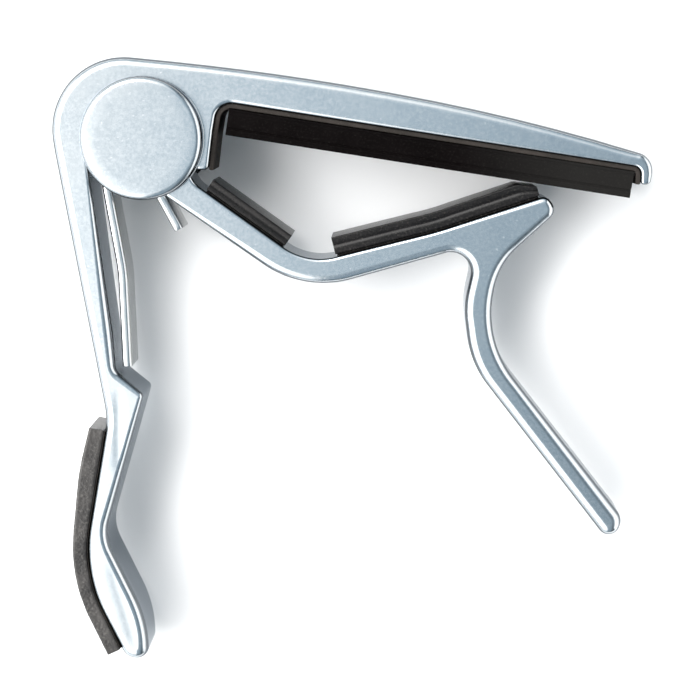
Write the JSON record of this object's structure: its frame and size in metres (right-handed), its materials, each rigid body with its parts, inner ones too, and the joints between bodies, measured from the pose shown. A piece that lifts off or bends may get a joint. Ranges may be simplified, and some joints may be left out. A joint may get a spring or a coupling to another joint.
{
  "type": "guitar capo",
  "caption": "Spring-clamp guitar capo: L-shaped frame with a padded string arm and palm handle, and a pivoting padded jaw with a finger lever, closed by a torsion spring.",
  "frame": {"origin": "on the pivot axis, in the plane of the rear cap's flat outer face", "axes": "+Z along the pivot axis from the rear cap to the front cap; +X along the string arm, away from the pivot; +Y away from the palm handle"},
  "size_m": [0.0858, 0.0887, 0.016],
  "materials": {
    "cast_alloy": "satin",
    "spring_steel": "bright",
    "pin_steel": "ground",
    "nylon": "natural",
    "bronze": "plain",
    "pad_rubber": "satin",
    "pad_liner": "matte",
    "tape": "matte",
    "glue": "satin",
    "grip_rubber": "pebbled matte"
  },
  "bodies": {
    "frame": {"frame_casting": "cast_alloy", "front_pivot_cap": "cast_alloy", "rear_pivot_cap": "cast_alloy", "pivot_pin": "pin_steel", "torsion_spring": "spring_steel", "string_pad_liner": "pad_liner", "string_pad": "pad_rubber", "palm_grip_glue": "glue", "palm_grip": "grip_rubber"},
    "trigger": {"trigger_casting": "cast_alloy", "spring_arbor": "nylon", "rear_thrust_washer": "bronze", "front_thrust_washer": "bronze", "inner_neck_pad_tape": "tape", "inner_neck_pad": "pad_rubber", "outer_neck_pad_tape": "tape", "outer_neck_pad": "pad_rubber"}
  },
  "joints": [
    {"name": "trigger_hinge", "type": "hinge", "parent": "frame", "child": "trigger", "pos_m": [0, 0, 0.008], "axis": [0, 0, -1], "range_deg": [0, 32], "stiffness_Nm_per_rad": 0.3, "springref_deg": -85.94, "deforming": ["torsion_spring"]}
  ]
}
